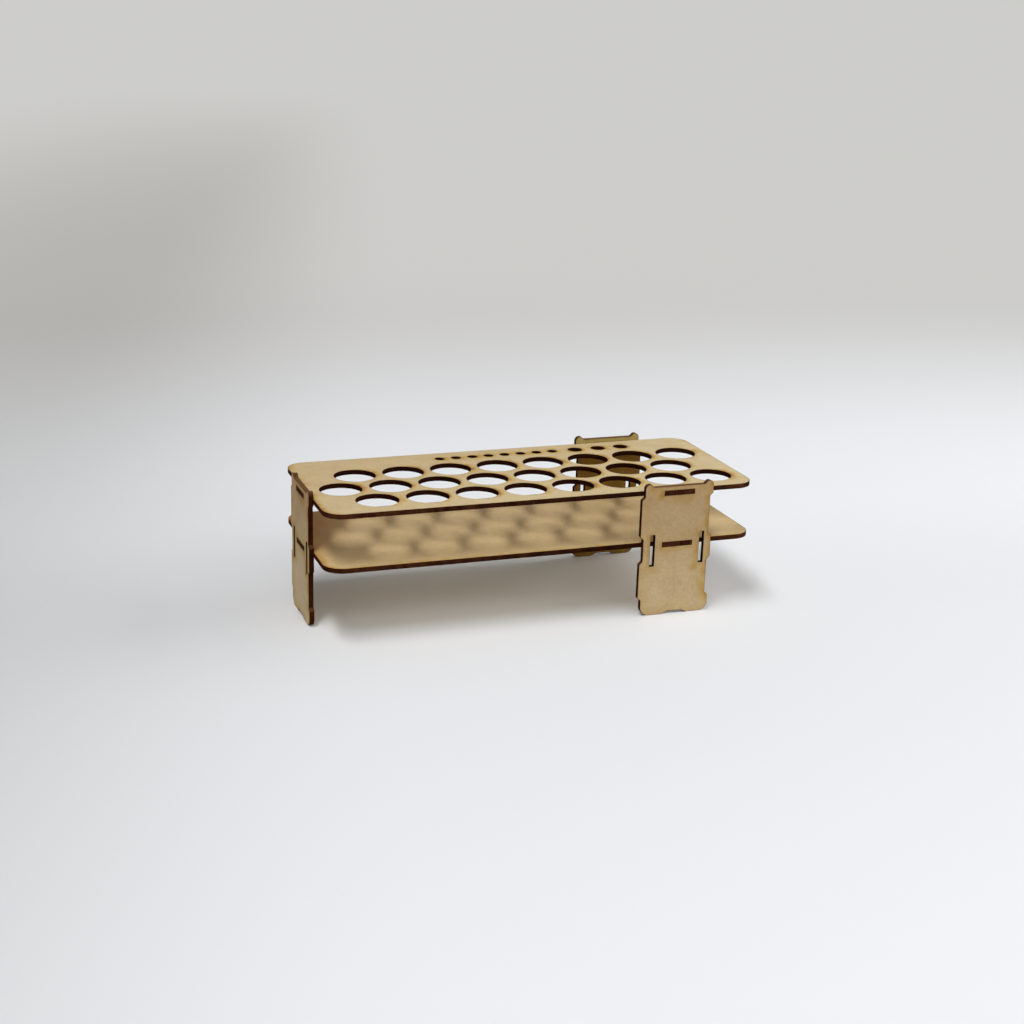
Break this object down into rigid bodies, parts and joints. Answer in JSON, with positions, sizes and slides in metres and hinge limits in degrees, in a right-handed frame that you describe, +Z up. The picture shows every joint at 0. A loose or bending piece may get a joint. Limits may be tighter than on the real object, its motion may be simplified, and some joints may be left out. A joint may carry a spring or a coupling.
{
  "type": "paint shelf",
  "caption": "Two-tier board rack with round holes for paint bottles and brushes in its upper shelf, held by three slotted legs.",
  "frame": {"origin": "middle of the overall footprint, on the surface that the feet stand on", "axes": "+X along the shelves to the right, away from the end leg; +Y to the back, where the brush holes are; +Z up"},
  "size_m": [0.279, 0.1196, 0.0855],
  "materials": {
    "shelf_board": "bare fibreboard, laser cut, with dark brown cut edges",
    "leg_board": "bare fibreboard, laser cut, with dark brown cut edges"
  },
  "bodies": {
    "root": {"upper_shelf": "shelf_board", "lower_shelf": "shelf_board", "left_leg": "leg_board", "front_leg": "leg_board", "rear_leg": "leg_board"}
  },
  "joints": []
}
